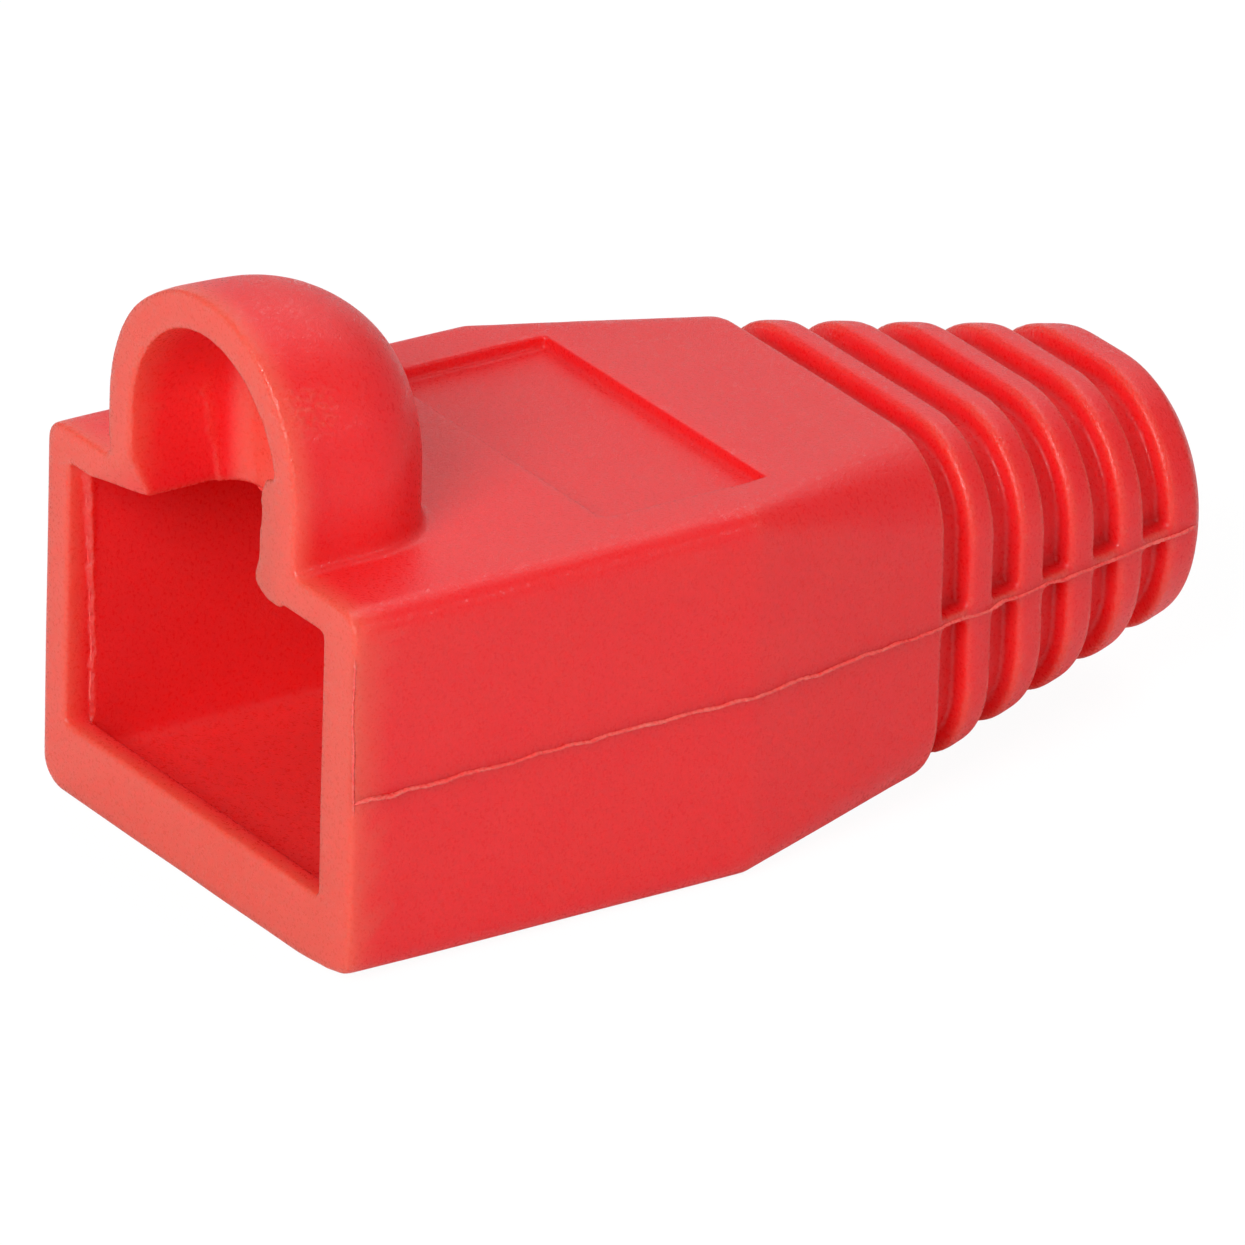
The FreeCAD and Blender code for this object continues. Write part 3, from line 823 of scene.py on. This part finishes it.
def edge_value(mesh, spread):
    """Curvature of each vertex times a radius, cut to 0..1 and spread over its neighbours."""
    points, normals = get_points(mesh), get_normals(mesh)
    first, last = get_edges(mesh)
    count = edge_count(first, last, len(points))
    step = points[last] - points[first]
    square = np.maximum((step ** 2).sum(1), TINY)
    bend_first = -(step * normals[first]).sum(1) / square
    bend_last = (step * normals[last]).sum(1) / square
    total = (np.bincount(first, bend_first, len(points))
             + np.bincount(last, bend_last, len(points)))
    value = np.clip(2 * EDGE_ROUND * total / count, 0.0, 1.0)
    for _ in range(spread):
        value = 0.5 * value + 0.5 * neighbour_mean(value, first, last, count)
    return value


def off_label(x, y, z):
    """0 on the label recess and 1 away from it."""
    middle, half = (LABEL_START + LABEL_END) / 2, (LABEL_END - LABEL_START) / 2
    beyond = np.abs(y - mouth_y - middle) - half
    return 1 - (ramp(beyond, LABEL_OUT) * ramp(np.abs(x), LABEL_OUT_SIDE)
                * ramp(z, LABEL_OUT_TOP, top_z))


# The front value sets a painted glow and sheen at the mouth and on the slot's back.
def front_value(points, normals):
    """1 at the mouth's front, falling to 0 behind it, and a share of 1 on the slot's back."""
    back = BACK_SHARE * slot_step(points, normals) / SLOT_STEP
    return np.maximum(ramp(points[:, 1], (FRONT_DEPTH, 0.0), mouth_y),
                      back * ramp(-normals[:, 1], BACK_FACING))


# The inside value sets painted light in the cavity.
def inside_value(points, normals):
    """1 where the cavity faces up and a share of it elsewhere in the cavity."""
    x, y, z = points.T
    within = (ramp(np.abs(x), INSIDE_SIDE, cavity_high[0])
              * ramp(z, INSIDE_BOTTOM, cavity_low[2]) * ramp(z, INSIDE_TOP, cavity_high[2])
              * ramp(y, INSIDE_FRONT, mouth_y) * ramp(y, INSIDE_BACK, mouth_y))
    return within * (INSIDE_WALLS + (1 - INSIDE_WALLS) * ramp(normals[:, 2], INSIDE_FACING))


points, normals = get_points(skin.data), get_normals(skin.data)
edge = edge_value(skin.data, EDGE_SPREAD) * off_label(*points.T)
store_value(skin.data, "edge", edge)
store_value(skin.data, "front", front_value(points, normals))
store_value(skin.data, "inside", inside_value(points, normals))
set_points(skin.data, points * MM)
shade_smooth(skin.data)
print("edge value from", round(edge.min(), 2), "to", round(edge.max(), 2))

# %% [markdown]
# ## Ragged flash
# Where two steel faces of the mould meet, a film of PVC creeps between them and tears when
# the part comes out.  It leaves a low jagged ridge.  Each ridge is a small section carried
# along a path on the skin: its width, its height and its sideways wander are random, seeded
# and smoothed, so it looks torn and not drawn with a ruler.

# %% Ridge helper
# The section: across in half widths and up in heights.
RIDGE_ACROSS = np.array((-1.0, -0.55, -0.15, 0.2, 0.6, 1.0))
RIDGE_UP = np.array((-0.6, 0.55, 1.0, 0.9, 0.45, -0.6))
# A ridge runs out over this many points, to no less than this share of its width.
RIDGE_ENDS = 4.0
RIDGE_LEAST = 0.05
# How much of the width and of the height is even, and how much is torn.
WIDTH_EVEN, WIDTH_TORN = 0.55, 0.45
HEIGHT_EVEN, HEIGHT_TORN = 0.3, 0.7
# For the width, the height and the wander: points between knots and share of fresh noise.
WIDTH_TEAR = (5, 0.35)
HEIGHT_TEAR = (4, 0.5)
WANDER_TEAR = (12, 0.1)


def ridge(name, path, normal, width, height, wander):
    """A low torn ridge along a path.

    At each point of the path the section is spread across (the path's direction cross the
    outward normal) by half the width, and raised along the normal by the height.  Both are
    scaled by jagged noise and run out to nothing at the two ends."""
    count = len(path)
    tangent = np.gradient(path, axis=0)
    tangent /= np.linalg.norm(tangent, axis=1)[:, None]
    across = np.cross(tangent, normal)
    across /= np.linalg.norm(across, axis=1)[:, None]
    taper = np.minimum(1.0, np.minimum(np.arange(count), np.arange(count)[::-1]) / RIDGE_ENDS)
    half = (0.5 * width * (WIDTH_EVEN + WIDTH_TORN * jagged(count, *WIDTH_TEAR))
            * np.maximum(taper, RIDGE_LEAST))
    rise = height * (HEIGHT_EVEN + HEIGHT_TORN * jagged(count, *HEIGHT_TEAR)) * taper
    centre = path + across * (wander * (jagged(count, *WANDER_TEAR) - 0.5))[:, None]
    points = (centre[:, None]
              + across[:, None] * (half[:, None] * RIDGE_ACROSS)[..., None]
              + normal[:, None] * (rise[:, None] * RIDGE_UP)[..., None])
    return carried_section(name, points)


def spaced(corners, step):
    """Points every step along a line through corners, in millimetres."""
    corners = np.array(corners, float)
    lengths = np.linalg.norm(np.diff(corners, axis=0), axis=1)
    station = np.concatenate(([0.0], np.cumsum(lengths)))
    samples = np.linspace(0, station[-1], int(station[-1] / step) + 1)
    return np.stack([np.interp(samples, station, corners[:, k]) for k in range(3)], axis=1)


print("ridge section has", len(RIDGE_UP), "points")

# %% [markdown]
# ## The parting line
# The two mould halves meet level with the cable's axis.  The line runs the whole length of
# both sides and across the webs between the rings.
# How far out the skin is at that level is read from the skin itself: for each station along
# the boot, the largest |x| among the points near the parting plane.

# %% Parting flash
FLASH_STEP = 0.045
FLASH_WIDTH = 0.17
FLASH_HEIGHT = 0.125
FLASH_WANDER = 0.10
STATIONS = 70
START_GAP = 0.02
END_GAP = 0.35
NEAR_PLANE = 0.25
OUTER_WALL = 0.1
FACING_OUT = 0.3
skin_points = get_points(skin.data) / MM
facing_out = get_normals(skin.data)[:, 0] * np.sign(skin_points[:, 0]) > FACING_OUT


def half_width(stations, height, band):
    """How far out the skin is near a height, at each station along the boot.  Only points
    whose normal faces outwards count, so no station finds the cavity's wall.

    The largest |x| between two stations finds the outer wall, and the mean place of the
    points within a tenth of a millimetre of it gives a line without bias."""
    near = skin_points[facing_out & (np.abs(skin_points[:, 2] - height) < band)]
    y, out = near[:, 1], np.abs(near[:, 0])
    bins = np.searchsorted(stations, y)
    most = np.zeros(len(stations) + 1)
    np.maximum.at(most, bins, out)
    outer = out > most[bins] - OUTER_WALL
    count = np.bincount(bins[outer], minlength=len(most))
    filled = count > 0
    mean_y = np.bincount(bins[outer], y[outer], len(most))[filled] / count[filled]
    mean_out = np.bincount(bins[outer], out[outer], len(most))[filled] / count[filled]
    return np.interp(stations, mean_y, mean_out)


coarse = np.linspace(mouth_y + START_GAP, end_y - END_GAP, STATIONS)
reach = half_width(coarse, parting_z, NEAR_PLANE)
flash = []
for side_name, sign in (("left", -1.0), ("right", 1.0)):
    line = np.stack((sign * reach, coarse, np.full_like(coarse, parting_z)), axis=1)
    path = spaced(line, FLASH_STEP)
    normal = np.tile((sign, 0.0, 0.0), (len(path), 1))
    flash.append(ridge("parting_flash_" + side_name, path, normal,
                       FLASH_WIDTH, FLASH_HEIGHT, FLASH_WANDER))
print("parting line", len(path), "stations a side")

# %% [markdown]
# ## Flash inside the mouth and along the rim
# The mouth's lip ends in a torn line where the two cores met.  Finer ones run down the right
# front corner, where core and mould closed, and along the bottom of the latch slot's back.

# %% Inside flash
STRAIGHT_STEP = 0.05
WALL_GAP = 0.1
CORNER_IN = 0.045
CEILING_SINK = 0.02
lip_x = -(cavity_high[0] + WALL_GAP) - (CORE_SHIFT - MOUTH_TAPER)
corner_x, corner_y = high[0] - CORNER_IN, mouth_y + CORNER_IN
ceiling_z = cavity_high[2] + WALL_GAP - CEILING_SINK
# Each ridge's name, corners, outward direction, and its width, height and wander.
STRAIGHT_RIDGES = (
    ("lip_flash_left",
     ((lip_x, mouth_y + 0.50, parting_z + 3.6), (lip_x, mouth_y + 0.62, parting_z + 1.5),
      (lip_x, mouth_y + 0.75, parting_z - 1.0), (lip_x, mouth_y + 0.77, parting_z - 2.9)),
     (1, 0, 0), (0.06, 0.05, 0.06)),
    ("corner_flash_right",
     ((corner_x, corner_y, parting_z + 3.9), (corner_x, corner_y, parting_z - 0.4)),
     (0.7, -0.7, 0), (0.10, 0.05, 0.14)),
    ("slot_flash_ceiling",
     ((-2.6, slot_back, ceiling_z), (2.4, slot_back, ceiling_z)),
     (0, -0.7, -0.7), (0.10, 0.07, 0.06)))

for name, corners, outward, sizes in STRAIGHT_RIDGES:
    path = spaced(corners, STRAIGHT_STEP)
    normal = np.tile(np.array(outward, float), (len(path), 1))
    flash.append(ridge(name, path, normal, *sizes))
print("ridges:", len(flash))

# %% [markdown]
# ## Soft red PVC
# The colour is a strong red.  The edges and the mouth's front are painted slightly orange, a
# painted glow and sheen for light coming through thin PVC.  Light sinks in a fraction of a
# millimetre before it comes back, which subsurface scattering gives.  Inside the cavity the
# red is painted a little lighter, painted light strongest on its floor, and in the tail's
# grooves it is painted deeper, painted shade.  The finish is the fine matte grain of a
# spark-eroded mould, with small shiny specks where the PVC was pressed against it.  Along
# edges the grain stands out more and the surface is a little more polished.

# %% Shader helpers
NOISE_DETAIL = 2.0


def noise(nodes, links, place, size, rough):
    """Noise on Object coordinates whose lumps are about this size in millimetres."""
    made = node(nodes, "TexNoise", Scale=1 / (size * MM), Detail=NOISE_DETAIL, Roughness=rough)
    links.new(place.outputs["Object"], made.inputs["Vector"])
    return made.outputs["Fac"]


def kept(nodes, name):
    """A value kept on the vertices, as a socket."""
    return node(nodes, "Attribute", attribute_name=name).outputs["Fac"]


def mix_colour(nodes, links, factor, first, second):
    """A colour between two others; each may be a fixed colour or a socket.

    A Mix node set to colours has its factor at socket 0 and the two colours at 6 and 7."""
    mix = node(nodes, "Mix", data_type="RGBA")
    sockets = (mix.inputs[0], mix.inputs[6], mix.inputs[7])
    for socket, value in zip(sockets, (factor, first, second)):
        if isinstance(value, tuple):
            socket.default_value = value
        else:
            links.new(value, socket)
    return mix.outputs[2]


def between(nodes, links, value, low_in, high_in, low_out, high_out):
    """A value carried from one range to another, cut off at both ends."""
    made = node(nodes, "MapRange")
    for name, number in (("From Min", low_in), ("From Max", high_in),
                         ("To Min", low_out), ("To Max", high_out)):
        made.inputs[name].default_value = number
    links.new(value, made.inputs["Value"])
    return made.outputs["Result"]


def times(nodes, links, first, second):
    """The product of two sockets."""
    made = node(nodes, "Math", operation="MULTIPLY")
    links.new(first, made.inputs[0])
    links.new(second, made.inputs[1])
    return made.outputs[0]


print("shader helpers are ready")

# %% [markdown]
# ## The two materials
# The skin's colour is built up in layers, each laid over the last by the share its own value
# asks for.  The flash is too thin to scatter light inside it, so it takes none; its paler
# colour is a painted highlight along its ridges.

# %% PVC material
# The size and the roughness of each noise.
GRAIN = (0.085, 0.6)
MOTTLE = (1.6, 0.55)
SPECK = (0.10, 0.7)
DARK_RED = (0.90, 0.011, 0.015, 1)
DEEP_RED = (0.98, 0.019, 0.028, 1)
WARM_RED = (0.98, 0.030, 0.028, 1)
# The orange below is a painted glow and sheen for the edges and the mouth's front.
PAINTED_GLOW_ORANGE = (0.86, 0.125, 0.080, 1)
# The flash's red, made paler as a painted highlight along its ridges.
FLASH_HIGHLIGHT_RED = (1.0, 0.230, 0.185, 1)
# Painted light: a lighter red for the cavity.
CAVITY_PAINTED_LIGHT_RED = (1.0, 0.042, 0.042, 1)
# Painted shade: a deeper red for the tail's grooves.
GROOVE_SHADE_RED = (0.70, 0.004, 0.006, 1)
# Where each value starts and stops counting, and what it is carried to.
MOTTLE_RANGE = (0.35, 0.65, 0.0, 0.6)
GRAIN_RANGE = (0.32, 0.66, 0.75, 0.0)
HOLLOW_RANGE = (0.1, 1.0, 0.0, 0.7)
WEAR_RANGE = (0.1, 0.6, 1.0, 2.0)
SHINE_RANGE = (0.50, 0.62, 0.48, 0.20)
POLISH_RANGE = (0.05, 0.4, 1.0, 0.7)
EDGE_FROM = (0.08, 0.50)
WHOLE = (0.0, 1.0, 0.0, 1.0)
REFRACTION = 1.5
SCATTER_RADIUS = (1.0, 0.15, 0.10)
SCATTER_DEPTH = 0.80
BUMP_STRENGTH = 0.8
BUMP_DEPTH = 0.018


def pvc(name, dark, body, glow_tint, edge_share, front_share, depth):
    """Soft PVC: a body colour with a darker grain, a painted glow colour that the edges and the
    mouth's front take by their shares, painted shade in the grooves, painted light in the
    cavity, and the share of light that sinks in."""
    material, nodes, links = new_material(name)
    place = node(nodes, "TexCoord")
    grain = noise(nodes, links, place, *GRAIN)
    mottle = noise(nodes, links, place, *MOTTLE)
    speck = noise(nodes, links, place, *SPECK)
    edge = kept(nodes, "edge")
    colour = body
    for value, carried, tint in (
            (mottle, MOTTLE_RANGE, WARM_RED),
            (grain, GRAIN_RANGE, dark),
            # Painted glow and sheen at the mouth's front and on the slot's back.
            (kept(nodes, "front"), (0.0, 1.0, 0.0, front_share), glow_tint),
            # Painted glow along the edges.
            (edge, (*EDGE_FROM, 0.0, edge_share), glow_tint),
            # Painted shade in the tail's grooves.
            (kept(nodes, "hollow"), HOLLOW_RANGE, GROOVE_SHADE_RED),
            # Painted light in the cavity.
            (kept(nodes, "inside"), WHOLE, CAVITY_PAINTED_LIGHT_RED)):
        share = between(nodes, links, value, *carried)
        colour = mix_colour(nodes, links, share, colour, tint)
    worn = times(nodes, links, grain, between(nodes, links, edge, *WEAR_RANGE))
    shine = times(nodes, links, between(nodes, links, speck, *SHINE_RANGE),
                  between(nodes, links, edge, *POLISH_RANGE))
    bump = node(nodes, "Bump", Strength=BUMP_STRENGTH, Distance=BUMP_DEPTH * MM)
    links.new(worn, bump.inputs["Height"])
    surface = node(nodes, "BsdfPrincipled", IOR=REFRACTION)
    surface.inputs["Subsurface Weight"].default_value = depth
    surface.inputs["Subsurface Radius"].default_value = SCATTER_RADIUS
    surface.inputs["Subsurface Scale"].default_value = SCATTER_DEPTH * MM
    links.new(colour, surface.inputs["Base Color"])
    links.new(shine, surface.inputs["Roughness"])
    links.new(bump.outputs["Normal"], surface.inputs["Normal"])
    out = node(nodes, "OutputMaterial")
    links.new(surface.outputs[0], out.inputs["Surface"])
    return material


skin_pvc = pvc("soft_pvc_skin", DARK_RED, DEEP_RED, PAINTED_GLOW_ORANGE,
               edge_share=0.40, front_share=0.85, depth=1.0)
thin_pvc = pvc("soft_pvc_flash", DEEP_RED, FLASH_HIGHLIGHT_RED, FLASH_HIGHLIGHT_RED,
               edge_share=0.0, front_share=0.0, depth=0.0)
skin.data.materials.clear()
skin.data.materials.append(skin_pvc)
for piece in flash:
    store_value(piece.data, "edge", np.ones(len(piece.data.vertices)))
    piece.data.materials.append(thin_pvc)
print("materials:", skin_pvc.name, thin_pvc.name)

# %% [markdown]
# ## Hand over
# The skin stands for the solid, which stays in the physics.  The flash rides along with it.
# The model's box may differ from the solid's by the torn flash and the pressed-out edges,
# which is less than three hundredths of its width.

# %% Finish
for piece in [skin] + flash:
    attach(piece, "root")
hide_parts("boot")
